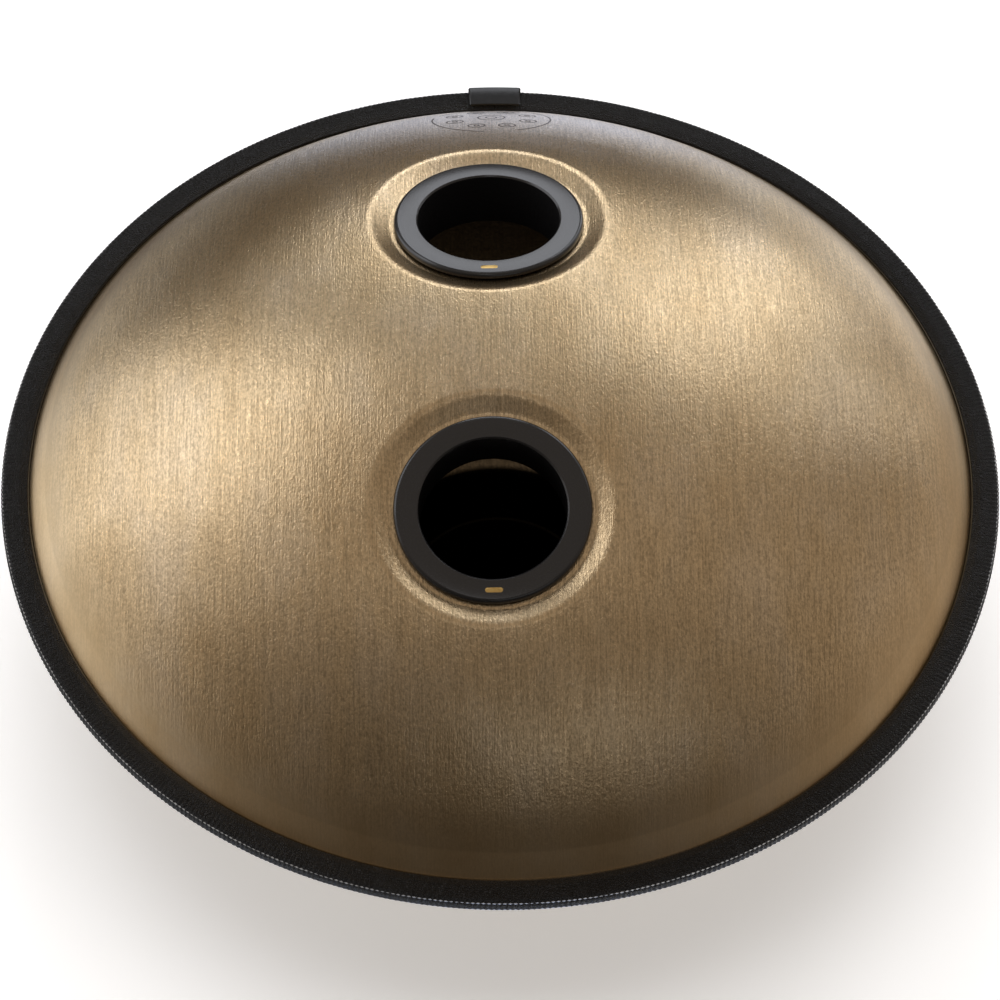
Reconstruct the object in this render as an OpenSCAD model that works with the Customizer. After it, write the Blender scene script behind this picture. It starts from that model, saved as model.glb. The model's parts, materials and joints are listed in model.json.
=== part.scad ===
// Ported steel handpan, lying on its playing side with its two ports upwards.
// Origin: bottom centre, on the instrument's axis. +Z up, rear port towards +Y.

/* [Shells] */
// Thickness of the shell steel
steel_t = 1.2; // [1:0.1:1.4]
// Outer diameter of the two flat flanges
flange_d = 530.6; // [528:0.2:531]
// Diameter at which a dome meets its flange
dome_d = 506; // [499:7:506]
// Height of the ported dome's crown above the rim plane
gu_rise = 119; // [116:0.5:120]
// Depth of the playing dome's crown below the rim plane
ding_rise = 112; // [108:0.5:114]
// Radius of the shallow crown of both domes
crown_r = 375; // [365:1:385]
// Slope at which the crown turns into the steeper shoulder
crown_slope = 20; // [18:0.5:22]
// Thickness of the epoxy film between the flanges
bond_t = 0.3; // [0.2:0.05:0.5]
// Width of the epoxy film
bond_w = 11; // [8:0.5:11]

/* [Tone fields] */
// Number of tone fields around the central note
field_count = 8; // [6:1:8]
// Distance of a field's centre from the axis
field_ring_r = 168; // [164:1:172]
// Depth by which the largest field is flattened into the dome
field_cut = 4.5; // [3:0.25:4.75]
// How much shallower each following field is
field_cut_step = 0.15; // [0:0.05:0.2]
// Radius of the dimple in the largest field
dimple_r = 22; // [16:0.5:24]
// How much smaller each following dimple is
dimple_step = 0.9; // [0:0.1:1.2]
// Radius of curvature of the dimples
dimple_curve = 75; // [60:1:90]

/* [Central note] */
// Radius at which the central note's boss leaves the crown
boss_r = 76; // [72:1:80]
// Radius of the boss's flat crest, on which the instrument stands
crest_r = 52; // [48:0.5:56]
// Height of the crest above the crown
crest_h = 6; // [5:0.5:8]
// Radius of the dimple inside the crest
ding_dimple_r = 33; // [28:0.5:35]
// Depth of the dimple inside the crest
ding_dimple_h = 8; // [6:0.5:9]

/* [Ports] */
// Radius of each port's bore
port_r = 37.75; // [36:0.25:38.5]
// Distance of each port's centre in front of or behind the axis
port_y = 94.3; // [92:0.1:97]
// Sideways offset of both ports
port_x = -6.2; // [-8:0.1:0]
// Wall of the ring's collar
collar_wall = 2.6; // [2.2:0.1:3]
// Length of the bore, from the top of the flange to the collar's end
collar_len = 30; // [24:1:34]
// Radius of the ring's flange
ring_r = 50.5; // [49:0.25:51.5]
// Thickness of the ring's flange
ring_t = 3; // [2.5:0.1:3.5]
// Rounding of the flange's outer edge
ring_round = 2; // [1:0.1:2.4]
// Chamfer at the mouth of the bore
mouth_chamfer = 1.75; // [1:0.25:2]
// Thickness of the gasket under the flange
gasket_t = 0.8; // [0.6:0.1:1]
// Outer radius of the gasket
gasket_r = 47.5; // [45:0.5:48]
// Radius of the ridge around each port
ridge_r = 62; // [60:0.5:64]
// Slope of the dish between ridge and ring
dish_slope = 18; // [16:0.5:20]
// Length of the inlaid mark on a ring
mark_len = 9; // [6:0.5:12]
// Width of the inlaid mark
mark_w = 2.6; // [2:0.2:4]

/* [Edge trim] */
// Outer diameter of the trim
trim_d = 536; // [535:0.2:537]
// Radial width of the trim
trim_w = 14.2; // [13.4:0.2:14.6]
// Height of the trim
trim_h = 8.6; // [8:0.2:9]
// Rounding of the trim's outer edges
trim_round = 2; // [1:0.1:2.4]
// Thickness of the carrier strip inside the trim
carrier_t = 0.6; // [0.4:0.1:0.8]
// Width of the butt joint under the clip, in degrees around the rim
trim_gap = 0.2; // [0.1:0.05:0.4]
// Length of the clip along the rim
clip_len = 30; // [24:1:36]
// Sheet thickness of the clip
clip_t = 1.2; // [0.8:0.1:1.5]
// How far the clip's legs stop short of the trim's inner edge
clip_setback = 2; // [2:0.2:5]

/* [Hidden] */

$fn = 180;
// Longer than the whole instrument, longer than the way through one shell, wider than one field
BIG = 700;
THROUGH = 70;
PLATE = 200;
STEEL = [0.67, 0.57, 0.40];
EPOXY = [0.35, 0.33, 0.28];
ANODISED = [0.13, 0.13, 0.14];
RUBBER = [0.07, 0.07, 0.07];
CLIP_BLACK = [0.03, 0.03, 0.03];
GOLD = [0.80, 0.62, 0.30];
FRONT = -1;
REAR = 1;

// Heights: the crest of the central note rests on z = 0
rim_z = ding_rise + crest_h;
film = bond_t / 2;
flange_top = film + steel_t;
flange_r = flange_d / 2;

// Shoulder arc of a dome: tangent to the crown, and through the dome's edge on its flange
seam_dir = [sin(crown_slope), cos(crown_slope)];
function toe(rise) = [dome_d / 2, flange_top - rise + crown_r];
function shoulder_r(rise) =
    pow(norm(toe(rise) - crown_r * seam_dir), 2) / (2 * (crown_r - toe(rise) * seam_dir));
function shoulder_c(rise) = [0, rise - crown_r] + (crown_r - shoulder_r(rise)) * seam_dir;

// Tone fields: slope of the playing dome where a field lies, and each field's own sizes
field_slope = asin((field_ring_r - shoulder_c(ding_rise)[0]) / shoulder_r(ding_rise));
function cut_of(i) = field_cut - i * field_cut_step;
function dimple_of(i) = dimple_r - i * dimple_step;

// Central note: its boss leaves the crown at boss_r and ends in the flat crest
crest_z = ding_rise + crest_h;
boss_z = ding_rise - crown_r + sqrt(crown_r * crown_r - boss_r * boss_r);
boss_slope = atan2(crest_z - boss_z, boss_r - crest_r);
boss_skirt = 8;
ding_curve = (pow(ding_dimple_r, 2) + pow(ding_dimple_h, 2)) / (2 * ding_dimple_h);

// Ports: each port's axis goes through the centre of the crown's arc
seat_reach = sqrt(crown_r * crown_r - ridge_r * ridge_r);
port_tilt = asin(norm([port_x, port_y]) / seat_reach);
lift_gap = 0.2;
dish_floor = -ring_t - gasket_t - lift_gap;
floor_r = ridge_r + dish_floor / tan(dish_slope);
dish_lip = 20;
collar_r = port_r + collar_wall;
hole_r = collar_r + 0.6;
mark_depth = 0.3;
mark_at = (port_r + mouth_chamfer + ring_r - ring_round) / 2;

// Trim, its carrier strip and its clip
trim_r = trim_d / 2;
trim_half = trim_h / 2;
trim_in = trim_r - trim_w;
slot_r = flange_r + 0.5;
carrier_z = (flange_top + trim_half) / 2;
carrier_r = (slot_r + trim_r) / 2;
carrier_in = trim_in + 1.5;
clip_gap = 0.1;
clip_turn = clip_len / trim_r * 180 / PI;

// ---------- shared shapes ----------

// Half section of a solid dome, inset by t, from z = low upwards
module dome_section(rise, t, low) {
    mid = shoulder_c(rise);
    ray = mid + BIG * seam_dir;
    floor_z = min(low, mid[1]) - 1;
    intersection() {
        translate([0, low]) square(BIG);
        union() {
            intersection() {
                translate([0, rise - crown_r]) circle(crown_r - t);
                polygon([[0, floor_z], [mid[0], floor_z], mid, ray, [0, BIG]]);
            }
            intersection() {
                translate(mid) circle(shoulder_r(rise) - t);
                polygon([[mid[0], floor_z], [BIG, floor_z], ray, mid]);
            }
        }
    }
}

module flange_disc() {
    translate([0, 0, film]) cylinder(r = flange_r, h = steel_t);
}

// Frame of a port: origin on its axis, level with the ridge, +Z outwards, +X away from the centre
module at_port(side) {
    translate([0, 0, rim_z + gu_rise - crown_r])
        rotate([0, port_tilt, atan2(side * port_y, port_x)])
            translate([0, 0, seat_reach])
                children();
}

// Frame of tone field i, in the playing dome's own upturned frame: +Z outwards
module at_field(i) {
    mid = shoulder_c(ding_rise);
    rotate([0, 0, (i + 0.5) * 360 / field_count])
        translate([mid[0], 0, mid[1]])
            rotate([0, field_slope, 0])
                translate([0, 0, shoulder_r(ding_rise)])
                    children();
}

// Rectangle from x0 to x1 and +-half high, its two corners at x1 rounded
module rounded_bar(x0, x1, half, round) {
    translate([x0, -half]) square([x1 - x0 - round, 2 * half]);
    translate([x0, round - half]) square([x1 - x0, 2 * (half - round)]);
    for (side = [-1, 1])
        translate([x1 - round, side * (half - round)]) circle(round);
}

// Ring around the axis, open at the rear by gap degrees
module rim_ring(gap) {
    rotate([0, 0, 90 + gap / 2])
        rotate_extrude(angle = 360 - gap)
            children();
}

// ---------- shells ----------

// Material taken from the ported dome around one port, inset by t
module dish_cut(t) {
    drop = t / cos(dish_slope);
    step = t * tan(dish_slope / 2);
    rise = dish_lip * tan(dish_slope);
    rotate_extrude()
        polygon([[0, dish_floor - t],
                 [floor_r + step, dish_floor - t],
                 [ridge_r + dish_lip, rise - drop],
                 [ridge_r + dish_lip, THROUGH],
                 [0, THROUGH]]);
}

module gu_body(t, low) {
    difference() {
        translate([0, 0, rim_z]) rotate_extrude() dome_section(gu_rise, t, low);
        for (side = [FRONT, REAR])
            at_port(side) dish_cut(t);
    }
}

module gu_shell() {
    color(STEEL)
        difference() {
            union() {
                gu_body(0, film);
                translate([0, 0, rim_z]) flange_disc();
            }
            gu_body(steel_t, -1);
            for (side = [FRONT, REAR])
                at_port(side) translate([0, 0, -THROUGH / 2]) cylinder(r = hole_r, h = THROUGH);
        }
}

// Half section of the central note's boss, inset by t, reaching down inside the dome
module boss_section(t) {
    top_z = crest_z - t;
    top_r = crest_r - t * tan(boss_slope / 2);
    foot_z = boss_z - boss_skirt;
    foot_r = top_r + (top_z - foot_z) / tan(boss_slope);
    polygon([[0, foot_z], [foot_r, foot_z], [top_r, top_z], [0, top_z]]);
}

// Half section of the playing dome with its boss and central dimple, inset by t
module ding_section(t, low) {
    difference() {
        union() {
            dome_section(ding_rise, t, low);
            boss_section(t);
        }
        translate([0, crest_z + ding_curve - ding_dimple_h]) circle(ding_curve + t);
    }
}

// Playing dome's solid, inset by t, in its own upturned frame
module ding_body(t, low) {
    difference() {
        rotate_extrude() ding_section(t, low);
        for (i = [0:field_count - 1])
            at_field(i) {
                translate([-PLATE / 2, -PLATE / 2, -cut_of(i) - t]) cube([PLATE, PLATE, THROUGH]);
                translate([0, 0, sqrt(pow(dimple_curve, 2) - pow(dimple_of(i), 2)) - cut_of(i)])
                    sphere(dimple_curve + t);
            }
    }
}

module ding_shell() {
    color(STEEL)
        translate([0, 0, rim_z])
            rotate([180, 0, 0])
                difference() {
                    union() {
                        ding_body(0, film);
                        flange_disc();
                    }
                    ding_body(steel_t, -1);
                }
}

module rim_bond() {
    color(EPOXY)
        translate([0, 0, rim_z - film])
            difference() {
                cylinder(r = flange_r - 0.5, h = bond_t);
                translate([0, 0, -1]) cylinder(r = flange_r - 0.5 - bond_w, h = bond_t + 2);
            }
}

// ---------- edge trim ----------

// U-shaped section of the carrier strip
module carrier_section() {
    difference() {
        translate([carrier_in, -carrier_z - carrier_t / 2])
            square([carrier_r + carrier_t / 2 - carrier_in, 2 * carrier_z + carrier_t]);
        translate([carrier_in - 1, -carrier_z + carrier_t / 2])
            square([carrier_r - carrier_t / 2 - carrier_in + 1, 2 * carrier_z - carrier_t]);
    }
}

module edge_trim() {
    color(RUBBER)
        translate([0, 0, rim_z])
            rim_ring(trim_gap)
                difference() {
                    rounded_bar(trim_in, trim_r, trim_half, trim_round);
                    translate([trim_in - 1, -flange_top])
                        square([slot_r - trim_in + 1, 2 * flange_top]);
                    carrier_section();
                }
}

module trim_carrier() {
    color("silver")
        translate([0, 0, rim_z])
            rim_ring(trim_gap)
                carrier_section();
}

module trim_clip() {
    inner = trim_half + clip_gap;
    outer = inner + clip_t;
    leg_in = trim_in + clip_setback;
    reach = trim_r + clip_gap;
    color(CLIP_BLACK)
        translate([0, 0, rim_z])
            rotate([0, 0, 90 - clip_turn / 2])
                rotate_extrude(angle = clip_turn)
                    difference() {
                        rounded_bar(leg_in, reach + clip_t, outer, trim_round);
                        translate([leg_in - 1, -inner]) square([reach - leg_in + 1, 2 * inner]);
                    }
}

// ---------- port rings ----------

// Bar with round ends, lying across the flange on its viewer's side
module mark_solid(side, h) {
    at_port(side)
        rotate([0, 0, -90 - atan2(side * port_y, port_x)])
            translate([mark_at, 0, -mark_depth]) {
                translate([-mark_w / 2, (mark_w - mark_len) / 2, 0])
                    cube([mark_w, mark_len - mark_w, h]);
                for (end = [-1, 1])
                    translate([0, end * (mark_len - mark_w) / 2, 0])
                        cylinder(d = mark_w, h = h);
            }
}

module port_ring(side) {
    mouth_r = port_r + mouth_chamfer;
    color(ANODISED)
        difference() {
            at_port(side)
                rotate_extrude()
                    difference() {
                        union() {
                            translate([0, -collar_len]) square([collar_r, collar_len]);
                            translate([0, -ring_t / 2])
                                rounded_bar(0, ring_r, ring_t / 2, min(ring_round, ring_t / 2 - 0.1));
                        }
                        translate([0, -collar_len - 1]) square([port_r, collar_len + 2]);
                        polygon([[0, -mouth_chamfer], [port_r, -mouth_chamfer],
                                 [mouth_r + 1, 1], [0, 1]]);
                    }
            mark_solid(side, 1);
        }
}

module port_gasket(side) {
    color(RUBBER)
        at_port(side)
            translate([0, 0, -ring_t - gasket_t])
                difference() {
                    cylinder(r = gasket_r, h = gasket_t);
                    translate([0, 0, -1]) cylinder(r = collar_r, h = gasket_t + 2);
                }
}

module port_ring_front() { port_ring(FRONT); }

module port_ring_rear() { port_ring(REAR); }

module port_gasket_front() { port_gasket(FRONT); }

module port_gasket_rear() { port_gasket(REAR); }

module port_mark_front() { color(GOLD) mark_solid(FRONT, mark_depth); }

module port_mark_rear() { color(GOLD) mark_solid(REAR, mark_depth); }

gu_shell();
ding_shell();
rim_bond();
edge_trim();
trim_carrier();
trim_clip();
port_ring_front();
port_ring_rear();
port_gasket_front();
port_gasket_rear();
port_mark_front();
port_mark_rear();
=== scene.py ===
"""Looks of a ported steel handpan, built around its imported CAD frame.

Shapes are worked out in millimetres and scaled to metres when a mesh is made. The two shells
are smooth pressed sheets that follow the CAD domes. The port rings, gaskets, trim and clip are
profiles swept around their axes, and the ported dome carries a fine etched diagram.
"""
import json
import math

import bpy
import numpy as np
from mathutils import Matrix, Vector
from mathutils.geometry import delaunay_2d_cdt


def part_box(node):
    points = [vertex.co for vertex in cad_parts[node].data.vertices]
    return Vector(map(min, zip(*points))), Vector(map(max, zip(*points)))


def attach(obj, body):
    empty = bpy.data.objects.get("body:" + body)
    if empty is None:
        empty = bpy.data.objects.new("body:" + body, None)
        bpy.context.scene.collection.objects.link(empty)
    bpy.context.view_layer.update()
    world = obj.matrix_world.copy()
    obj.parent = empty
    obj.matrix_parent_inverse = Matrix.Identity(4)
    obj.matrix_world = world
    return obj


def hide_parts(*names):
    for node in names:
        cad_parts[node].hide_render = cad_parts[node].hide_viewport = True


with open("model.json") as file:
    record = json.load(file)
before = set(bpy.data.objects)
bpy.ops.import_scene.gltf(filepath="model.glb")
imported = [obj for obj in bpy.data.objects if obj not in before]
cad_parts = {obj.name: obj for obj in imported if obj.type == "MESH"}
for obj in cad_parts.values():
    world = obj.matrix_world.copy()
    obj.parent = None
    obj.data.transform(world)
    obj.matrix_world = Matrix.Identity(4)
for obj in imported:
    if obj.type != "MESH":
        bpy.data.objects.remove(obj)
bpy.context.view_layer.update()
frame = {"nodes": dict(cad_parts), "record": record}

MM = 0.001

# Sheet steel and the arcs of both domes
STEEL_T = 1.2
FLANGE_R = 265.3
FLANGE_TOP = 1.35
TOE_R = 253.0
CROWN_R = 375.0
CROWN_SLOPE = math.radians(20)
FILLET_R = 1.2
CREASE_R = 243.5
CREASE_START = 232.0
CREASE_DEPTH = 0.5

# Port rings, and the dish pressed around each of them
PORT_R = 37.75
COLLAR_R = 40.35
COLLAR_LEN = 30.0
HOLE_R = 40.95
RING_R = 50.5
RING_T = 3.0
MOUTH_R = 38.6
GASKET_R = 47.5
GASKET_T = 0.8
RIDGE_R = 63.0
DISH_R = 53.0
DISH_SLOPE = math.radians(22.0)
DISH_BLEND = 1.6
DISH_DEPTH = 4.0
PATCH_R = 76.0

# Net of the ported dome: a polar grid out to the flange, plain triangles inside this radius
NET_R = 176.0
NET_SPACING = 6.0

# Playing side: central note and tone fields
CREST_H = 6.0
CREST_R = 52.0
BOSS_R = 76.0
DING_DIMPLE_R = 33.0
DING_DIMPLE_H = 8.0
FIELD_COUNT = 8
FIELD_RING_R = 168.0
FIELD_CUT = 4.5
FIELD_CUT_STEP = 0.15
DIMPLE_R = 22.0
DIMPLE_STEP = 0.9
DIMPLE_CURVE = 75.0

# Gold inlay of each ring
MARK_LENGTH = 9.0
MARK_WIDTH = 2.6
MARK_PROUD = 0.03
MARK_SUNK = 0.25

# Etched diagram on the ported dome
ETCH_X = -3.0
ETCH_Y = 206.5
ETCH_R = 33.0
ETCH_FIELD_RING_R = 22.0
ETCH_WIDTH = 0.8
ETCH_PROUD = 0.03
ETCH_SUNK = 0.05

# Edge trim and its clip
TRIM_W = 14.2
RIB_PITCH = 2.7
RIB_STEPS = 4
RIB_DEPTH = 0.5
LIP_W = 4.0
LIP_H = 1.4
CLIP_LEN = 30.0
CLIP_T = 1.2
CLIP_GAP = 0.1
CLIP_SETBACK = 2.0
CLIP_CHAMFER = 0.7


# ================================================================ frame

def mm_box(node):
    """Lowest and highest corner of a CAD node, in millimetres."""
    low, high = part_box(node)
    return np.array(low) / MM, np.array(high) / MM


trim_low, trim_high = mm_box("edge_trim")
RIM_Z = (trim_low[2] + trim_high[2]) / 2
TRIM_HALF = (trim_high[2] - trim_low[2]) / 2
TRIM_R = -trim_low[1]
DING_RISE = RIM_Z - CREST_H
GU_RISE = mm_box("gu_shell")[1][2] - RIM_Z
CROWN_CENTRE = np.array([0.0, 0.0, RIM_Z + GU_RISE - CROWN_R])


def unit(vector):
    return np.array(vector, float) / np.linalg.norm(vector)


def axis_frame(origin, axis, towards):
    """Origin and three unit vectors: the first leans towards a direction, the third is axis."""
    axis = unit(axis)
    first = unit(towards - np.dot(towards, axis) * axis)
    return np.array(origin, float), first, np.cross(axis, first), axis


def port_frame(side):
    """Frame of the front or rear port: level with its ridge, first vector towards the front."""
    mounts = {mount["name"]: mount for mount in frame["record"]["mounts"]}
    axis = unit(mounts["port_bore_" + side]["axis"])
    seat = math.sqrt(CROWN_R ** 2 - RIDGE_R ** 2)
    return axis_frame(CROWN_CENTRE + seat * axis, axis, np.array([0.0, -1.0, 0.0]))


def place(local, where):
    """Rows of (first, second, axis) coordinates in a frame, as points of the row frame."""
    origin, first, second, axis = where
    local = np.asarray(local, float)
    return origin + local[:, :1] * first + local[:, 1:2] * second + local[:, 2:3] * axis


# ================================================================ mesh helpers

def smooth_min(a, b, width):
    """The lesser of two heights, blended where they differ by less than width."""
    mix = np.clip(0.5 + 0.5 * (b - a) / width, 0, 1)
    return b + (a - b) * mix - width * mix * (1 - mix)


def smooth_max(a, b, width):
    return -smooth_min(-a, -b, width)


def add_mesh(name, points, faces, sharp_degrees=35):
    """A smooth-shaded object from points in millimetres; edges sharper than the angle stay crisp."""
    mesh = bpy.data.meshes.new(name)
    mesh.from_pydata((np.asarray(points) * MM).tolist(), [], faces)
    mesh.polygons.foreach_set("use_smooth", [True] * len(mesh.polygons))
    mesh.set_sharp_from_angle(angle=math.radians(sharp_degrees))
    mesh.update()
    piece = bpy.data.objects.new(name, mesh)
    bpy.context.scene.collection.objects.link(piece)
    return piece


def grid_faces(rows, columns, start=0, close_columns=True, close_rows=False):
    """Quads of a grid whose rows are listed one after another, each with its columns."""
    faces = []
    for i in range(rows if close_rows else rows - 1):
        for j in range(columns if close_columns else columns - 1):
            a = start + i * columns
            b = start + (i + 1) % rows * columns
            k = (j + 1) % columns
            faces.append((a + j, a + k, b + k, b + j))
    return faces


def circle(radius, count):
    turn = np.linspace(0, 2 * math.pi, count, endpoint=False)
    return radius * np.cos(turn), radius * np.sin(turn)


def polar_places(radii, count):
    """Rows of (x, y) places around an axis, one row of count places for each radius."""
    x, y = circle(1.0, count)
    return np.column_stack([np.outer(radii, x).ravel(), np.outer(radii, y).ravel()])


def rounded(corners, steps=5):
    """Closed outline through (x, y, radius) corners, each turned into an arc of its radius."""
    outline = []
    for i, (x, y, radius) in enumerate(corners):
        here = np.array([x, y], float)
        if not radius:
            outline.append(here)
            continue
        back = unit(np.array(corners[i - 1][:2]) - here)
        ahead = unit(np.array(corners[(i + 1) % len(corners)][:2]) - here)
        half = math.acos(np.clip(np.dot(back, ahead), -1, 1)) / 2
        centre = here + unit(back + ahead) * radius / math.sin(half)
        start = here + back * radius / math.tan(half) - centre
        end = here + ahead * radius / math.tan(half) - centre
        sweep = math.pi - 2 * half
        for k in range(steps + 1):
            part = k / steps
            weights = math.sin((1 - part) * sweep), math.sin(part * sweep)
            outline.append(centre + (weights[0] * start + weights[1] * end) / math.sin(sweep))
    return np.array(outline)


def lathe(name, outline, where, count=192):
    """A closed outline of (radius, height) points, turned around a frame's axis."""
    points = []
    for radius, height in outline:
        x, y = circle(radius, count)
        points.append(place(np.column_stack([x, y, np.full(count, height)]), where))
    return add_mesh(name, np.vstack(points), grid_faces(len(outline), count, close_rows=True))


def thicken(piece, thickness):
    """Gives a sheet its thickness, inwards; the new inner faces use the second material."""
    outer_faces = len(piece.data.polygons)
    solidify = piece.modifiers.new("thickness", "SOLIDIFY")
    solidify.thickness = thickness * MM
    solidify.offset = -1
    solidify.use_even_offset = True
    solidify.use_quality_normals = True
    bpy.context.view_layer.update()
    evaluated = piece.evaluated_get(bpy.context.evaluated_depsgraph_get())
    solid = bpy.data.meshes.new_from_object(evaluated)
    solid.name = piece.name
    piece.modifiers.clear()
    piece.data = solid
    inner = np.arange(len(solid.polygons)) >= outer_faces
    solid.polygons.foreach_set("material_index", inner.astype(int).tolist())
    solid.set_sharp_from_angle(angle=math.radians(35))
    return piece


# ================================================================ domes

def shoulder_arc(rise):
    """Radius and centre of a dome's shoulder: tangent to its crown, and through its toe."""
    seam = np.array([math.sin(CROWN_SLOPE), math.cos(CROWN_SLOPE)])
    toe = np.array([TOE_R, FLANGE_TOP - rise + CROWN_R])
    gap = toe - CROWN_R * seam
    radius = gap @ gap / (2 * (CROWN_R - toe @ seam))
    return radius, np.array([0, rise - CROWN_R]) + (CROWN_R - radius) * seam


def fillet_span(rise):
    """Where the concave fillet between shoulder and flange starts and ends."""
    radius, centre = shoulder_arc(rise)
    drop = FLANGE_TOP + FILLET_R - centre[1]
    end = centre[0] + math.sqrt((radius + FILLET_R) ** 2 - drop ** 2)
    return centre[0] + (end - centre[0]) * radius / (radius + FILLET_R), end


def dome_height(r, rise):
    """Height of a dome's outer face above the rim plane at distance r from the axis."""
    radius, centre = shoulder_arc(rise)
    start, end = fillet_span(rise)
    crown = rise - CROWN_R + np.sqrt(np.maximum(CROWN_R ** 2 - r ** 2, 0))
    shoulder = centre[1] + np.sqrt(np.maximum(radius ** 2 - (r - centre[0]) ** 2, 0))
    fillet = FLANGE_TOP + FILLET_R - np.sqrt(np.maximum(FILLET_R ** 2 - (end - r) ** 2, 0))
    shoulder = shoulder - np.interp(r, [CREASE_START, CREASE_R, start], [0, CREASE_DEPTH, 0])
    return np.select([r < CROWN_R * math.sin(CROWN_SLOPE), r < start, r < end],
                     [crown, shoulder, fillet], FLANGE_TOP)


def ring_radii(rise, first, spacing):
    """Radii of the grid rings of a dome, from first out to the flange's edge."""
    start, end = fillet_span(rise)
    dome = np.linspace(first, CREASE_R - 1, int((CREASE_R - 1 - first) / spacing))
    crease = np.array([CREASE_R - 0.3, CREASE_R, CREASE_R + 0.5])
    shoulder = np.linspace(CREASE_R + 1.5, start, 8)
    fillet = start + (end - start) * np.linspace(0, 1, 5)[1:]
    return np.concatenate([dome, crease, shoulder, fillet, [TOE_R + 5, FLANGE_R]])


def height_on_dome(local, where):
    """How far along a frame's axis the ported dome lies over each (first, second) place."""
    step, rounds = 0.01, 12
    height = np.zeros(len(local))
    for _ in range(rounds):
        points = place(np.column_stack([local, height]), where)
        r = np.hypot(points[:, 0], points[:, 1])
        miss = points[:, 2] - RIM_Z - dome_height(r, GU_RISE)
        slope = (dome_height(r + step, GU_RISE) - dome_height(r, GU_RISE)) / step
        outwards = (points[:, :2] @ where[3][:2]) / np.maximum(r, step)
        height -= miss / (where[3][2] - slope * outwards)
    return height


# ================================================================ ported shell

def dish_patch(where, count):
    """Grid of points from a port's hole outwards: floor, slope, rounded ridge, then the dome."""
    floor = np.linspace(HOLE_R, DISH_R - 0.3, 6)
    slope = np.linspace(DISH_R + 0.3, RIDGE_R - 4, 5)
    ridge = np.linspace(RIDGE_R - 3.5, RIDGE_R + 6, 28)
    dome = np.linspace(RIDGE_R + 7, PATCH_R, 5)
    radii = np.concatenate([floor, slope, ridge, dome])
    local = polar_places(radii, count)
    reach = np.repeat(radii, count)
    dish = np.maximum(reach - DISH_R, 0) * math.tan(DISH_SLOPE) - DISH_DEPTH
    height = smooth_min(dish, height_on_dome(local, where), DISH_BLEND)
    return place(np.column_stack([local, height]), where), len(radii)


def net_points(port_loops, port_centres):
    """A triangular net of points on the dome, clear of the polar grid and of both dishes."""
    grid = np.arange(-NET_R, NET_R, NET_SPACING)
    x, y = np.meshgrid(grid, grid * math.sqrt(3) / 2)
    x = x + np.where(np.arange(len(grid)) % 2, NET_SPACING / 2, 0)[:, None]
    net = np.column_stack([x.ravel(), y.ravel()])
    keep = np.hypot(*net.T) < NET_R - NET_SPACING / 2
    for loop, centre in zip(port_loops, port_centres):
        to_loop = np.min(np.linalg.norm(net[:, None] - loop[None], axis=2), axis=1)
        to_centre = np.linalg.norm(net - centre, axis=1)
        keep &= (to_loop > NET_SPACING / 2) & (to_centre > PATCH_R * 0.97)
    net = net[keep]
    return np.column_stack([net, RIM_Z + dome_height(np.hypot(*net.T), GU_RISE)])


def fill_between(points, loops, first_inside):
    """Triangles from the first loop inwards, over the net's points, to the two port loops."""
    known = [index for loop in loops for index in loop] + list(range(first_inside, len(points)))
    local = {index: k for k, index in enumerate(known)}
    edges = [(local[a], local[b]) for loop in loops for a, b in zip(loop, loop[1:] + loop[:1])]
    flat = [Vector(points[index, :2]) for index in known]
    result = delaunay_2d_cdt(flat, edges, [], 0, 1e-5)
    triangles, sources = result[2], result[3]
    owner = [number for number, loop in enumerate(loops) for _ in loop]
    owner += [-1] * (len(points) - first_inside)
    faces = []
    for triangle in triangles:
        corners = [sources[corner][0] for corner in triangle]
        owners = {owner[corner] for corner in corners}
        inside_a_port = owners in ({1}, {2})
        if not inside_a_port:
            faces.append(tuple(known[corner] for corner in corners))
    return faces


def build_gu_shell():
    """The ported dome: a polar grid outside, two dishes, and plain triangles between them."""
    columns, dish_columns = 288, 192
    radii = ring_radii(GU_RISE, NET_R, 3.0)
    height = np.repeat(RIM_Z + dome_height(radii, GU_RISE), columns)
    points = np.column_stack([polar_places(radii, columns), height])
    faces = [face[::-1] for face in grid_faces(len(radii), columns)]
    loops = [list(range(columns))]
    centres = []
    for side in ("front", "rear"):
        where = port_frame(side)
        dish, rows = dish_patch(where, dish_columns)
        start = len(points)
        last = start + (rows - 1) * dish_columns
        faces += [face[::-1] for face in grid_faces(rows, dish_columns, start)]
        loops.append(list(range(last, last + dish_columns)))
        centres.append(where[0][:2])
        points = np.vstack([points, dish])
    first_inside = len(points)
    net = net_points([points[loop, :2] for loop in loops[1:]], centres)
    points = np.vstack([points, net])
    faces += fill_between(points, loops, first_inside)
    return thicken(add_mesh("gu_shell_sheet", points, faces), STEEL_T)


# ================================================================ playing shell

def central_note(r, height):
    """Raises the boss and presses the dimple of the central note into a dome's height."""
    crest = DING_RISE + CREST_H
    foot = DING_RISE - CROWN_R + math.sqrt(CROWN_R ** 2 - BOSS_R ** 2)
    flank = crest + (CREST_R - r) * (crest - foot) / (BOSS_R - CREST_R)
    curve = (DING_DIMPLE_R ** 2 + DING_DIMPLE_H ** 2) / (2 * DING_DIMPLE_H)
    dimple = crest + curve - DING_DIMPLE_H - np.sqrt(np.maximum(curve ** 2 - r ** 2, 0))
    raised = np.where(r < BOSS_R + 16, smooth_max(height, flank, 2.4), height)
    raised = smooth_min(raised, np.full(len(r), crest), 1.2)
    return np.where(r < curve * 0.9, smooth_min(raised, dimple, 1.2), raised)


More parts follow.
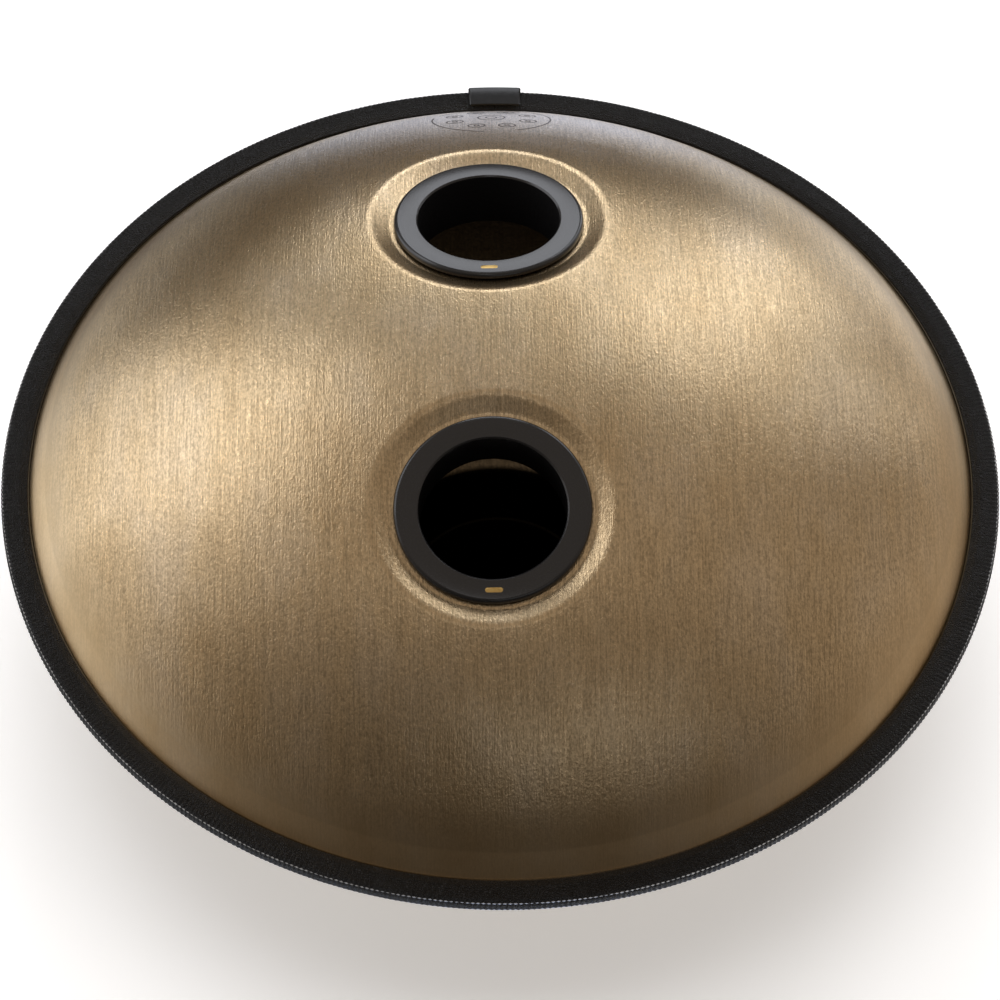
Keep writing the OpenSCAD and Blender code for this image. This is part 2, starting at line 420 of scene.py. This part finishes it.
def press_fields(points):
    """Flattens the tone fields into the dome and presses a dimple into each."""
    radius, centre = shoulder_arc(DING_RISE)
    slope = math.asin((FIELD_RING_R - centre[0]) / radius)
    for i in range(FIELD_COUNT):
        turn = (i + 0.5) * 2 * math.pi / FIELD_COUNT
        normal = np.array([math.sin(slope) * math.cos(turn), math.sin(slope) * math.sin(turn),
                           math.cos(slope)])
        middle = np.array([FIELD_RING_R * math.cos(turn), FIELD_RING_R * math.sin(turn),
                           float(dome_height(np.array(FIELD_RING_R), DING_RISE))])
        above = (points - middle) @ normal + FIELD_CUT - i * FIELD_CUT_STEP
        points = points - smooth_max(above, np.zeros(len(points)), 0.7)[:, None] * normal
        offset = points - middle
        off_axis = np.linalg.norm(offset - (offset @ normal)[:, None] * normal, axis=1)
        edge = DIMPLE_R - i * DIMPLE_STEP
        sphere = np.sqrt(np.maximum(DIMPLE_CURVE ** 2 - off_axis ** 2, 0))
        depth = sphere - math.sqrt(DIMPLE_CURVE ** 2 - edge ** 2)
        points = points - smooth_max(depth, np.zeros(len(points)), 0.5)[:, None] * normal
    return points


def build_ding_shell():
    """The playing dome, worked out upturned and then laid on its crest."""
    columns = 360
    note_radii = np.linspace(1.5, BOSS_R + 4, 54)
    radii = np.concatenate([note_radii, ring_radii(DING_RISE, BOSS_R + 6, 2.4)])
    height = central_note(radii, dome_height(radii, DING_RISE))
    points = np.column_stack([polar_places(radii, columns), np.repeat(height, columns)])
    pole = central_note(np.zeros(1), dome_height(np.zeros(1), DING_RISE))
    points = press_fields(np.vstack([points, [[0, 0, pole[0]]]]))
    faces = [face[::-1] for face in grid_faces(len(radii), columns)]
    faces += [(len(points) - 1, j, (j + 1) % columns) for j in range(columns)]
    points = points * [1, -1, -1] + [0, 0, RIM_Z]
    return thicken(add_mesh("ding_shell_sheet", points, faces), STEEL_T)


# ================================================================ ports

def build_port(side):
    """A port's ring with its gasket and its inlaid bar."""
    where = port_frame(side)
    mouth_z, seat_z = PORT_R - MOUTH_R, -RING_T - GASKET_T
    ring = [(PORT_R, -COLLAR_LEN, 0.4), (COLLAR_R, -COLLAR_LEN, 0.4), (COLLAR_R, -RING_T, 0.2),
            (RING_R, -RING_T, 0.4), (RING_R, 0, 2.3), (MOUTH_R, 0, 0.3), (PORT_R, mouth_z, 0.2)]
    gasket = [(COLLAR_R, seat_z, 0.2), (GASKET_R, seat_z, 0.3),
              (GASKET_R, -RING_T, 0.3), (COLLAR_R, -RING_T, 0)]
    ring_piece = lathe("port_ring_" + side + "_turned", rounded(ring), where, 256)
    gasket_piece = lathe("port_gasket_" + side + "_seal", rounded(gasket, 3), where, 160)
    return ring_piece, gasket_piece, build_mark(side, where)


def build_mark(side, where):
    """A plain bar with round ends, inlaid across the front of a ring's flange."""
    middle = (MOUTH_R + RING_R - 1.4) / 2
    x, y = MARK_WIDTH / 2, MARK_LENGTH / 2
    end_radius = x - 0.01
    corners = [(-x, -y, end_radius), (x, -y, end_radius), (x, y, end_radius), (-x, y, end_radius)]
    outline = rounded(corners, 8)
    count = len(outline)
    layers = [(-MARK_SUNK, 0), (MARK_PROUD - 0.02, 0), (MARK_PROUD, 0.04)]
    points = []
    for height, inset in layers:
        ring = outline * (1 - inset / y)
        points.append(np.column_stack([ring[:, 0] + middle, ring[:, 1], np.full(count, height)]))
    faces = grid_faces(len(layers), count)
    faces.append(tuple(reversed(range(count))))
    faces.append(tuple(range((len(layers) - 1) * count, len(layers) * count)))
    return add_mesh("port_mark_" + side + "_inlay", place(np.vstack(points), where), faces)


# ================================================================ edge trim

def outline_normals(outline):
    """Outward unit normals of a closed outline that runs anticlockwise."""
    along = np.roll(outline, -1, axis=0) - np.roll(outline, 1, axis=0)
    normals = np.column_stack([along[:, 1], -along[:, 0]])
    return normals / np.linalg.norm(normals, axis=1)[:, None]


def bend_around_rim(name, sections, turns, sharp_degrees):
    """A bar through closed (radius, height) sections, each at its turn about the axis."""
    points = []
    for section, turn in zip(sections, turns):
        x, y = section[:, 0] * math.cos(turn), section[:, 0] * math.sin(turn)
        points.append(np.column_stack([x, y, section[:, 1] + RIM_Z]))
    width = len(sections[0])
    last = (len(sections) - 1) * width
    faces = [face[::-1] for face in grid_faces(len(sections), width)]
    faces += [tuple(range(width)), tuple(reversed(range(last, last + width)))]
    return add_mesh(name, np.vstack(points), faces, sharp_degrees)


def build_trim():
    """The U-shaped rubber trim, ribbed outside its lip, with its butt joint at the rear."""
    inner, slot = TRIM_R - TRIM_W, FLANGE_R + 0.5
    top, wall = TRIM_HALF, TRIM_R
    upper = [(inner, FLANGE_TOP, 0), (slot, FLANGE_TOP, 0)]
    lower = [(slot, -FLANGE_TOP, 0), (inner, -FLANGE_TOP, 0)]
    lip = FLANGE_TOP + LIP_H
    under = [(inner, -lip, 0.6), (inner + LIP_W, -top, 3.0), (wall, -top, 3.2)]
    over = [(wall, top, 3.2), (inner + LIP_W, top, 3.0), (inner, lip, 0.6)]
    outline = rounded(lower + under + over + upper, 6)
    normals = outline_normals(outline)
    ribbed = np.clip((outline[:, 0] - inner - LIP_W) / (TRIM_W - LIP_W), 0, 1) ** 1.5
    ribbed[:2] = ribbed[-2:] = 0
    count = int(round(2 * math.pi * TRIM_R / RIB_PITCH)) * RIB_STEPS
    gap = 0.25 / TRIM_R
    turns = math.pi / 2 + gap + np.linspace(0, 2 * math.pi - 2 * gap, count + 1)
    sections = []
    for k in range(count + 1):
        rib = k / RIB_STEPS
        wave = 0.5 - 0.5 * math.cos(2 * math.pi * rib)
        uneven = 1 + 0.3 * math.sin(0.7 * rib) * math.sin(0.23 * rib + 1)
        sections.append(outline - normals * (ribbed * wave * RIB_DEPTH * uneven)[:, None])
    return bend_around_rim("edge_trim_ribbed", sections, turns, 60)


def build_clip():
    """The sheet-metal sleeve over the trim's joint, its ends chamfered."""
    near, far = TRIM_HALF + CLIP_GAP, TRIM_HALF + CLIP_GAP + CLIP_T
    leg, reach = TRIM_R - TRIM_W + CLIP_SETBACK, TRIM_R + CLIP_GAP
    wall = reach + CLIP_T
    corners = [(leg, -near, 0.2), (leg, -far, 0.7), (wall, -far, 1.3), (wall, far, 1.3),
               (leg, far, 0.7), (leg, near, 0.2), (reach, near, 0.3), (reach, -near, 0.3)]
    outline = rounded(corners, 5)
    normals = outline_normals(outline)
    half = CLIP_LEN / TRIM_R / 2
    edge = CLIP_CHAMFER / TRIM_R
    between = np.linspace(-half + 3 * edge, half - 3 * edge, 20)
    turns = math.pi / 2 + np.array([-half, -half + edge, *between, half - edge, half])
    chamfered = outline - normals * CLIP_CHAMFER
    sections = [chamfered] + [outline] * (len(turns) - 2) + [chamfered]
    return bend_around_rim("trim_clip_sleeve", sections, turns, 30)


# ================================================================ etched diagram

def etched_line(route, where, closed):
    """A thin band laid on the ported dome along (first, second) places of a frame."""
    route = np.asarray(route, float)
    if closed:
        along = np.roll(route, -1, axis=0) - np.roll(route, 1, axis=0)
    else:
        along = np.gradient(route, axis=0)
    along = along / np.linalg.norm(along, axis=1)[:, None]
    across = np.column_stack([-along[:, 1], along[:, 0]]) * ETCH_WIDTH / 2
    rows = []
    for side, lift in ((-1, -ETCH_SUNK), (-1, ETCH_PROUD), (1, ETCH_PROUD), (1, -ETCH_SUNK)):
        local = route + side * across
        rows.append(place(np.column_stack([local, height_on_dome(local, where) + lift]), where))
    count = len(route)
    points = np.vstack(rows)
    faces = [face[::-1] for face in grid_faces(4, count, close_columns=closed, close_rows=True)]
    if not closed:
        faces += [tuple(k * count for k in range(4)), tuple((4 - k) * count - 1 for k in range(4))]
    return points, faces


def arc(radius, start, end, count=72):
    """Places along an arc between two angles in degrees."""
    turn = np.radians(np.linspace(start, end, count))
    return np.column_stack([radius * np.cos(turn), radius * np.sin(turn)])


def oval(centre_x, centre_y, half_x, half_y, count=40):
    """Places around an oval."""
    x, y = circle(1.0, count)
    return np.column_stack([centre_x + half_x * x, centre_y + half_y * y])


def build_etching():
    """A plain diagram of the tone fields: a broken circle, a middle circle and ovals around it."""
    radius, centre = shoulder_arc(GU_RISE)
    slope = math.asin((ETCH_Y - centre[0]) / radius)
    axis = np.array([0, math.sin(slope), math.cos(slope)])
    origin = [ETCH_X, ETCH_Y, RIM_Z + float(dome_height(np.array(ETCH_Y), GU_RISE))]
    where = axis_frame(origin, axis, np.array([1.0, 0, 0]))
    routes = [(arc(ETCH_R, *span), False) for span in ((-65, 62), (78, 150), (165, 262))]
    for k in range(FIELD_COUNT):
        turn = (k + 0.5) * 2 * math.pi / FIELD_COUNT
        x, y = ETCH_FIELD_RING_R * math.cos(turn), ETCH_FIELD_RING_R * math.sin(turn)
        routes.append((oval(x, y, 4.6, 3.8), True))
        routes.append((oval(x, y, 1.3, 1.3), True))
    for size in (7.5, 3.0):
        routes.append((oval(0, 0, size, size, 56), True))
    points, faces = [], []
    for route, closed in routes:
        start = sum(len(block) for block in points)
        band, quads = etched_line(route, where, closed)
        points.append(band)
        faces += [tuple(start + corner for corner in quad) for quad in quads]
    return add_mesh("gu_shell_etching", np.vstack(points), faces)


# ================================================================ materials

GOLD_TONES = [(0.60, 0.44, 0.25), (0.66, 0.50, 0.30), (0.70, 0.55, 0.36)]
# Painted shade: the inside tones are the outside ones at a fifth.
INSIDE_PAINTED_SHADE_TONES = [[part * 0.2 for part in tone] for tone in GOLD_TONES]
FINE_BUMP = 0.1 * MM


def grey(level):
    return (level, level, level)


class Nodes:
    """A material's node tree, with short calls for the nodes used here."""

    def __init__(self, name):
        self.material = bpy.data.materials.new(name)
        self.material.use_nodes = True
        self.tree = self.material.node_tree
        self.shader = self.tree.nodes["Principled BSDF"]
        self.place = self.add("ShaderNodeTexCoord").outputs["Object"]

    def add(self, kind, **settings):
        node = self.tree.nodes.new(kind)
        for name, value in settings.items():
            setattr(node, name, value)
        return node

    def link(self, source, target):
        self.tree.links.new(source, target)

    def stretch(self, scale, source=None):
        node = self.add("ShaderNodeMapping")
        node.inputs["Scale"].default_value = scale
        self.link(source or self.place, node.inputs["Vector"])
        return node.outputs[0]

    def noise(self, scale, detail=3.0, roughness=0.55):
        node = self.add("ShaderNodeTexNoise")
        node.inputs["Scale"].default_value = 1.0
        node.inputs["Detail"].default_value = detail
        node.inputs["Roughness"].default_value = roughness
        self.link(self.stretch(scale), node.inputs["Vector"])
        return node.outputs["Fac"]

    def ramp(self, source, stops):
        node = self.add("ShaderNodeValToRGB")
        while len(node.color_ramp.elements) < len(stops):
            node.color_ramp.elements.new(0.5)
        for element, (position, colour) in zip(node.color_ramp.elements, stops):
            element.position = position
            element.color = (*colour, 1)
        self.link(source, node.inputs["Fac"])
        return node.outputs["Color"]

    def remap(self, source, low, high, new_low, new_high):
        node = self.add("ShaderNodeMapRange")
        limits = {"From Min": low, "From Max": high, "To Min": new_low, "To Max": new_high}
        for name, value in limits.items():
            node.inputs[name].default_value = value
        self.link(source, node.inputs["Value"])
        return node.outputs["Result"]

    def sum(self, a, b, share):
        """a + share * b."""
        node = self.add("ShaderNodeMath", operation="MULTIPLY_ADD")
        node.inputs[1].default_value = share
        self.link(b, node.inputs[0])
        self.link(a, node.inputs[2])
        return node.outputs[0]

    def product(self, a, b):
        node = self.add("ShaderNodeMath", operation="MULTIPLY")
        self.link(a, node.inputs[0])
        self.link(b, node.inputs[1])
        return node.outputs[0]

    def tint(self, colour, factor):
        """colour, darkened or lightened by a factor around 1."""
        node = self.add("ShaderNodeVectorMath", operation="SCALE")
        self.link(colour, node.inputs[0])
        self.link(factor, node.inputs["Scale"])
        return node.outputs[0]

    def bump(self, height, strength, distance):
        node = self.add("ShaderNodeBump")
        node.inputs["Strength"].default_value = strength
        node.inputs["Distance"].default_value = distance
        self.link(height, node.inputs["Height"])
        self.link(node.outputs[0], self.shader.inputs["Normal"])

    def colour(self, source, dark, light, low=0.3, high=0.7):
        """Base colour, dark up to the source's low value and light from its high value."""
        tones = self.ramp(source, [(low, dark), (high, light)])
        self.link(tones, self.shader.inputs["Base Color"])

    def roughness(self, source, low, high, rough_low, rough_high):
        """Roughness between two values as the source goes from low to high."""
        self.link(self.remap(source, low, high, rough_low, rough_high),
                  self.shader.inputs["Roughness"])

    def set(self, **values):
        """Constants on the shader's own sockets."""
        for name, value in values.items():
            self.shader.inputs[name.replace("_", " ")].default_value = value


def brushed_steel(name, tones, shine, relief, recess):
    """Gold-toned steel brushed along Y over a fine pebble grain.

    The brushing fades towards the rim, where a painted highlight makes the colour a little lighter.
    Painted shade darkens the crevice along the flange, and anything lower than the recess height, in
    metres.
    """
    steel = Nodes(name)
    strokes = steel.noise((1200, 36, 40), 2.0, 0.55)
    dashes = steel.noise((1150, 380, 400), 2.0, 0.6)
    pebble = steel.noise((800, 700, 800), 2.0, 0.6)
    blotch = steel.noise((26, 12, 20), 4.0, 0.6)
    grain = steel.sum(steel.sum(strokes, dashes, 1.3), pebble, 0.8)
    distance = steel.add("ShaderNodeVectorMath", operation="LENGTH")
    steel.link(steel.stretch((1, 1, 0)), distance.inputs[0])
    away = distance.outputs["Value"]
    split = steel.add("ShaderNodeSeparateXYZ")
    steel.link(steel.place, split.inputs[0])
    fade_start, fade_end = (CREASE_R - 18.5) * MM, (CREASE_R - 0.5) * MM
    crease_start, crease_end = (CREASE_R - 0.3) * MM, (CREASE_R + 0.5) * MM
    crevice_start, crevice_end = (TOE_R - 0.6) * MM, (TOE_R - 0.1) * MM
    strength = steel.remap(away, fade_start, fade_end, 1.0, 0.2)
    # Painted highlight: the band outside the rim crease is made ten percent lighter.
    rim_painted_highlight = steel.remap(away, crease_start, crease_end, 1.0, 1.1)
    # Painted shade: the crevice at the flange's toe is darkened to a tenth.
    crevice_painted_shade = steel.remap(away, crevice_start, crevice_end, 1.0, 0.1)
    # Painted shade: anything lower than the recess height is darkened, down to four percent.
    recess_painted_shade = steel.remap(split.outputs["Z"], recess, recess + MM, 0.04, 1.0)
    level = steel.product(steel.remap(grain, 1.22, 1.88, -1.0, 1.0), strength)
    shade = steel.remap(level, -1.0, 1.0, 0.68, 1.26)
    # The brushing grain sets the tone, and the painted highlight and painted shades then scale it.
    for factor in (rim_painted_highlight, crevice_painted_shade, recess_painted_shade):
        shade = steel.product(shade, factor)
    colour = steel.ramp(blotch, list(zip((0.3, 0.5, 0.7), tones)))
    steel.link(steel.tint(colour, shade), steel.shader.inputs["Base Color"])
    steel.roughness(level, -1.0, 1.0, shine + 0.03, shine - 0.03)
    steel.bump(level, relief, FINE_BUMP)
    steel.set(Metallic=1.0, Anisotropic=0.3)
    sideways = steel.add("ShaderNodeCombineXYZ")
    sideways.inputs["X"].default_value = 1.0
    steel.link(sideways.outputs[0], steel.shader.inputs["Tangent"])
    return steel.material


def etched_steel():
    """Darker matt steel where the diagram is etched."""
    steel = Nodes("etched_steel")
    speckle = steel.noise((900, 900, 900), 2.0)
    steel.colour(speckle, (0.10, 0.08, 0.06), (0.16, 0.13, 0.10))
    steel.bump(speckle, 0.1, FINE_BUMP)
    steel.set(Metallic=0.6, Roughness=0.55)
    return steel.material


def leather_rubber():
    """Black rubber with a leather-like grain."""
    rubber = Nodes("trim_rubber_grained")
    cells = rubber.add("ShaderNodeTexVoronoi", feature="DISTANCE_TO_EDGE")
    cells.inputs["Scale"].default_value = 1.0
    rubber.link(rubber.stretch((850, 850, 850)), cells.inputs["Vector"])
    fine = rubber.noise((2600, 2600, 2600), 3.0)
    broad = rubber.noise((160, 160, 160), 3.0)
    height = rubber.sum(rubber.remap(cells.outputs["Distance"], 0.0, 0.25, 0.0, 1.0), fine, 0.5)
    rubber.colour(rubber.sum(height, broad, 0.8), grey(0.002), grey(0.02), 0.4, 1.0)
    rubber.roughness(height, 0.0, 1.4, 0.30, 0.50)
    rubber.bump(height, 1.0, MM)
    rubber.set(Specular_IOR_Level=0.4)
    return rubber.material


def black_anodised():
    """Black anodised aluminium with a faint speckle."""
    metal = Nodes("ring_black_anodised")
    speckle = metal.noise((1500, 1500, 1500), 3.0)
    metal.colour(speckle, (0.014, 0.0138, 0.0143), (0.021, 0.0204, 0.0212))
    metal.roughness(speckle, 0.3, 0.7, 0.17, 0.22)
    metal.bump(speckle, 0.03, FINE_BUMP)
    metal.set(Specular_IOR_Level=0.7)
    return metal.material


def gloss_black():
    """Gloss black lacquer."""
    lacquer = Nodes("clip_gloss_black")
    ripple = lacquer.noise((300, 300, 300), 2.0)
    lacquer.colour(ripple, grey(0.008), grey(0.014))
    lacquer.roughness(ripple, 0.3, 0.7, 0.12, 0.2)
    lacquer.bump(ripple, 0.05, FINE_BUMP)
    lacquer.set(Specular_IOR_Level=0.45)
    return lacquer.material


def matt_rubber():
    """Plain matt black rubber."""
    rubber = Nodes("gasket_rubber_matt")
    speckle = rubber.noise((1200, 1200, 1200), 3.0)
    rubber.colour(speckle, grey(0.01), grey(0.02))
    rubber.bump(speckle, 0.3, FINE_BUMP)
    rubber.set(Roughness=0.75)
    return rubber.material


def gold_inlay():
    """Satin gold."""
    gold = Nodes("mark_gold_satin")
    lines = gold.noise((3000, 400, 3000), 3.0)
    gold.colour(lines, (0.62, 0.40, 0.12), (0.78, 0.54, 0.20))
    gold.roughness(lines, 0.3, 0.7, 0.3, 0.45)
    gold.bump(lines, 0.1, FINE_BUMP)
    gold.set(Metallic=0.9)
    return gold.material


def cured_epoxy():
    """Dull amber-grey epoxy."""
    epoxy = Nodes("rim_epoxy")
    cloud = epoxy.noise((200, 200, 200), 3.0)
    epoxy.colour(cloud, (0.22, 0.20, 0.16), (0.32, 0.29, 0.23))
    epoxy.set(Roughness=0.5)
    return epoxy.material


def strip_steel():
    """Plain rolled strip steel."""
    steel = Nodes("carrier_strip_steel")
    lines = steel.noise((500, 500, 2000), 3.0)
    steel.colour(lines, grey(0.45), grey(0.6))
    steel.roughness(lines, 0.3, 0.7, 0.3, 0.45)
    steel.set(Metallic=1.0)
    return steel.material


def pale_floor():
    """Pale studio floor with the faintest mottling, and a slight glow of its own."""
    floor = Nodes("floor_pale")
    cloud = floor.noise((3, 3, 3), 3.0)
    floor.colour(cloud, grey(0.88), grey(0.91))
    floor.set(Roughness=0.85, Emission_Color=(1, 1, 1, 1), Emission_Strength=0.35)
    return floor.material


def dress(piece, body, slot, materials, *nodes):
    """Gives a piece its materials and its body, and hides the CAD nodes that it stands for. The slot
    is not used.
    """
    for material in materials:
        piece.data.materials.append(material)
    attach(piece, body)
    if nodes:
        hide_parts(*nodes)


# ================================================================ assembly

# Painted shade: the inside is darker all over, and darkest in the central note's hollow; the outside
# has no recess.
NO_RECESS = -1.0
NOTE_RECESS = 14.5 * MM
outside = brushed_steel("shell_steel_brushed", GOLD_TONES, 0.3, 0.5, NO_RECESS)
inside = brushed_steel("shell_steel_inside_painted_shade", INSIDE_PAINTED_SHADE_TONES, 0.2, 0.1, NOTE_RECESS)
dress(build_gu_shell(), "pan", "shell_steel", [outside, inside], "gu_shell")
dress(build_ding_shell(), "pan", "shell_steel", [outside, inside], "ding_shell")
dress(build_etching(), "pan", "shell_steel", [etched_steel()])
trim = build_trim()
dress(trim, "pan", "trim_rubber", [leather_rubber()], "edge_trim")
dress(build_clip(), "pan", "clip_black", [gloss_black()], "trim_clip")

anodised, seal, gold = black_anodised(), matt_rubber(), gold_inlay()
for side in ("front", "rear"):
    ring, gasket, mark = build_port(side)
    dress(ring, side + "_ring", "ring_black", [anodised], "port_ring_" + side)
    dress(gasket, side + "_ring", "gasket_rubber", [seal], "port_gasket_" + side)
    dress(mark, side + "_ring", "mark_gold", [gold], "port_mark_" + side)

for node, material in (("rim_bond", cured_epoxy()), ("trim_carrier", strip_steel())):
    frame["nodes"][node].data.materials.clear()
    frame["nodes"][node].data.materials.append(material)


# ================================================================ studio

RIM_CENTRE = Vector((0, 0, RIM_Z * MM))
WARM = (1.12, 0.96, 0.82)
NEUTRAL = (1.0, 1.0, 1.0)
COOL = (0.95, 1.1, 1.5)
PANEL_COLOUR = (1.0, 1.03, 1.1)
PANEL_DISTANCE = 2.0

# Surroundings as (component of the direction, brightness, tint): from front to rear above the
# horizon, and from left to right below it, where it is pale to the left, middle and right
ABOVE_HORIZON = [(-0.9, 0.05, WARM), (-0.5, 0.14, WARM), (-0.1, 0.30, WARM), (0.3, 0.30, WARM),
                 (0.7, 0.10, WARM)]
BELOW_HORIZON = [(-0.8, 0.95, NEUTRAL), (-0.44, 0.35, NEUTRAL), (-0.2, 0.14, NEUTRAL),
                 (-0.07, 0.75, COOL), (0.12, 0.9, COOL), (0.25, 0.60, NEUTRAL),
                 (0.44, 1.1, NEUTRAL), (0.75, 0.42, WARM)]
HORIZON_LOW = -0.34
HORIZON_HIGH = -0.24
HORIZON_CURVE = -0.3

# Light panels: name, azimuth, elevation, width, height, radiance
PANELS = [
    ("left_key", 152, 24, 1.15, 1.9, 1.05),
    ("left_fill", 178, 25, 0.7, 1.5, 0.4),
    ("left_top", 140, 46, 0.9, 0.5, 0.9),
    ("left_wing", 122, 26, 0.8, 0.7, 0.3),
    ("right_key", 56, 24, 0.6, 1.8, 1.6),
    ("right_fill", 36, 25, 0.6, 1.6, 0.5),
    ("right_top", 64, 42, 0.4, 0.5, 0.6),
    ("right_low", 35, 2, 0.5, 0.35, 0.5),
    ("rear_strip", 90, 29, 0.9, 0.7, 2.3),
    ("rear_high", 90, 54, 0.55, 1.0, 0.4),
    ("overhead", -105, 76, 0.4, 0.3, 0.8),
    ("front_fill", -70, 40, 1.2, 0.7, 0.25),
]

# Camera: its angles, its distance in metres, its lens in millimetres, and the point it aims at
CAMERA_ELEVATION = math.radians(54.84)
CAMERA_TURN = math.radians(1.6)
CAMERA_ROLL = math.radians(1.03)
CAMERA_DISTANCE = 2.173
CAMERA_LENS = 145.3
CAMERA_SENSOR = 36.0
AIM_DOWN = 0.0148
AIM_LEFT = 0.0003


def add_floor():
    size, cuts = 6.0, 8
    x, y = np.meshgrid(np.linspace(-size, size, cuts), np.linspace(-size, size, cuts))
    points = np.column_stack([x.ravel(), y.ravel(), np.zeros(cuts * cuts)]) / MM
    floor = add_mesh("floor", points, grid_faces(cuts, cuts, close_columns=False))
    floor.data.materials.append(pale_floor())
    return floor


def direction(azimuth, elevation):
    """Unit vector: azimuth from +X towards +Y, elevation above the floor, in degrees."""
    turn, lift = math.radians(azimuth), math.radians(elevation)
    level = math.cos(lift)
    return Vector((level * math.cos(turn), level * math.sin(turn), math.sin(lift)))


def add_panel(name, azimuth, elevation, width, height, radiance, distance=PANEL_DISTANCE,
              colour=PANEL_COLOUR):
    """A soft rectangular light panel that faces the rim's centre."""
    data = bpy.data.lights.new(name, "AREA")
    data.shape = "RECTANGLE"
    data.size, data.size_y = width, height
    data.energy = radiance * math.pi * width * height
    data.color = colour
    panel = bpy.data.objects.new(name, data)
    bpy.context.scene.collection.objects.link(panel)
    panel.location = RIM_CENTRE + direction(azimuth, elevation) * distance
    panel.rotation_euler = (RIM_CENTRE - panel.location).to_track_quat("-Z", "Y").to_euler()
    return panel


def world_ramp(tree, source, stops):
    """A colour ramp over one component of a direction, -1 to 1."""
    level = tree.nodes.new("ShaderNodeMapRange")
    level.inputs["From Min"].default_value = -1.0
    ramp = tree.nodes.new("ShaderNodeValToRGB")
    while len(ramp.color_ramp.elements) < len(stops):
        ramp.color_ramp.elements.new(0.5)
    for element, (at, brightness, tint) in zip(ramp.color_ramp.elements, stops):
        element.position = (at + 1) / 2
        element.color = (*[brightness * part for part in tint], 1)
    tree.links.new(source, level.inputs["Value"])
    tree.links.new(level.outputs["Result"], ramp.inputs["Fac"])
    return ramp.outputs["Color"]


def add_world():
    """Soft surroundings: one ramp above the horizon and one below it.

    The horizon is blurred, and it rises towards the left and right.
    """
    world = bpy.data.worlds.new("studio")
    world.use_nodes = True
    bpy.context.scene.world = world
    tree = world.node_tree
    places = tree.nodes.new("ShaderNodeTexCoord")
    split = tree.nodes.new("ShaderNodeSeparateXYZ")
    tree.links.new(places.outputs["Generated"], split.inputs[0])
    above = world_ramp(tree, split.outputs["Y"], ABOVE_HORIZON)
    below = world_ramp(tree, split.outputs["X"], BELOW_HORIZON)
    square = tree.nodes.new("ShaderNodeMath")
    square.operation = "MULTIPLY"
    tree.links.new(split.outputs["X"], square.inputs[0])
    tree.links.new(split.outputs["X"], square.inputs[1])
    lift = tree.nodes.new("ShaderNodeMath")
    lift.operation = "MULTIPLY_ADD"
    lift.inputs[1].default_value = HORIZON_CURVE
    tree.links.new(square.outputs[0], lift.inputs[0])
    tree.links.new(split.outputs["Z"], lift.inputs[2])
    horizon = tree.nodes.new("ShaderNodeMapRange")
    horizon.inputs["From Min"].default_value = HORIZON_LOW
    horizon.inputs["From Max"].default_value = HORIZON_HIGH
    tree.links.new(lift.outputs[0], horizon.inputs["Value"])
    blend = tree.nodes.new("ShaderNodeMix")
    blend.data_type = "RGBA"
    tree.links.new(horizon.outputs["Result"], blend.inputs["Factor"])
    tree.links.new(below, blend.inputs[6])
    tree.links.new(above, blend.inputs[7])
    tree.links.new(blend.outputs[2], tree.nodes["Background"].inputs["Color"])


def add_camera():
    """The camera: above the front, a little to the left, and rolled slightly clockwise."""
    level = math.cos(CAMERA_ELEVATION)
    forward = Vector((math.sin(CAMERA_TURN) * level, math.cos(CAMERA_TURN) * level,
                      -math.sin(CAMERA_ELEVATION)))
    right = Vector((math.cos(CAMERA_TURN), -math.sin(CAMERA_TURN), 0))
    down = forward.cross(right)
    cosine, sine = math.cos(CAMERA_ROLL), math.sin(CAMERA_ROLL)
    right, down = right * cosine - down * sine, right * sine + down * cosine
    data = bpy.data.cameras.new("camera")
    data.sensor_width = CAMERA_SENSOR
    data.lens = CAMERA_LENS
    data.clip_end = 50
    camera = bpy.data.objects.new("camera", data)
    bpy.context.scene.collection.objects.link(camera)
    camera.matrix_world = Matrix((right, -down, -forward)).transposed().to_4x4()
    camera.location = RIM_CENTRE + down * AIM_DOWN - right * AIM_LEFT - forward * CAMERA_DISTANCE
    bpy.context.scene.camera = camera


bpy.context.scene.view_settings.view_transform = "Standard"
floor = add_floor()
add_world()
add_camera()
for panel in PANELS:
    add_panel(*panel)

# One more panel lights only the floor
floor_light = add_panel("floor_light", 90, 75, 3.2, 3.2, 2.0, distance=3.0, colour=NEUTRAL)
floor_only = bpy.data.collections.new("floor_only")
floor_only.objects.link(floor)
floor_light.light_linking.receiver_collection = floor_only

# Reflections show the surroundings, and neither the floor nor the trim
floor.visible_glossy = False
trim.visible_glossy = False
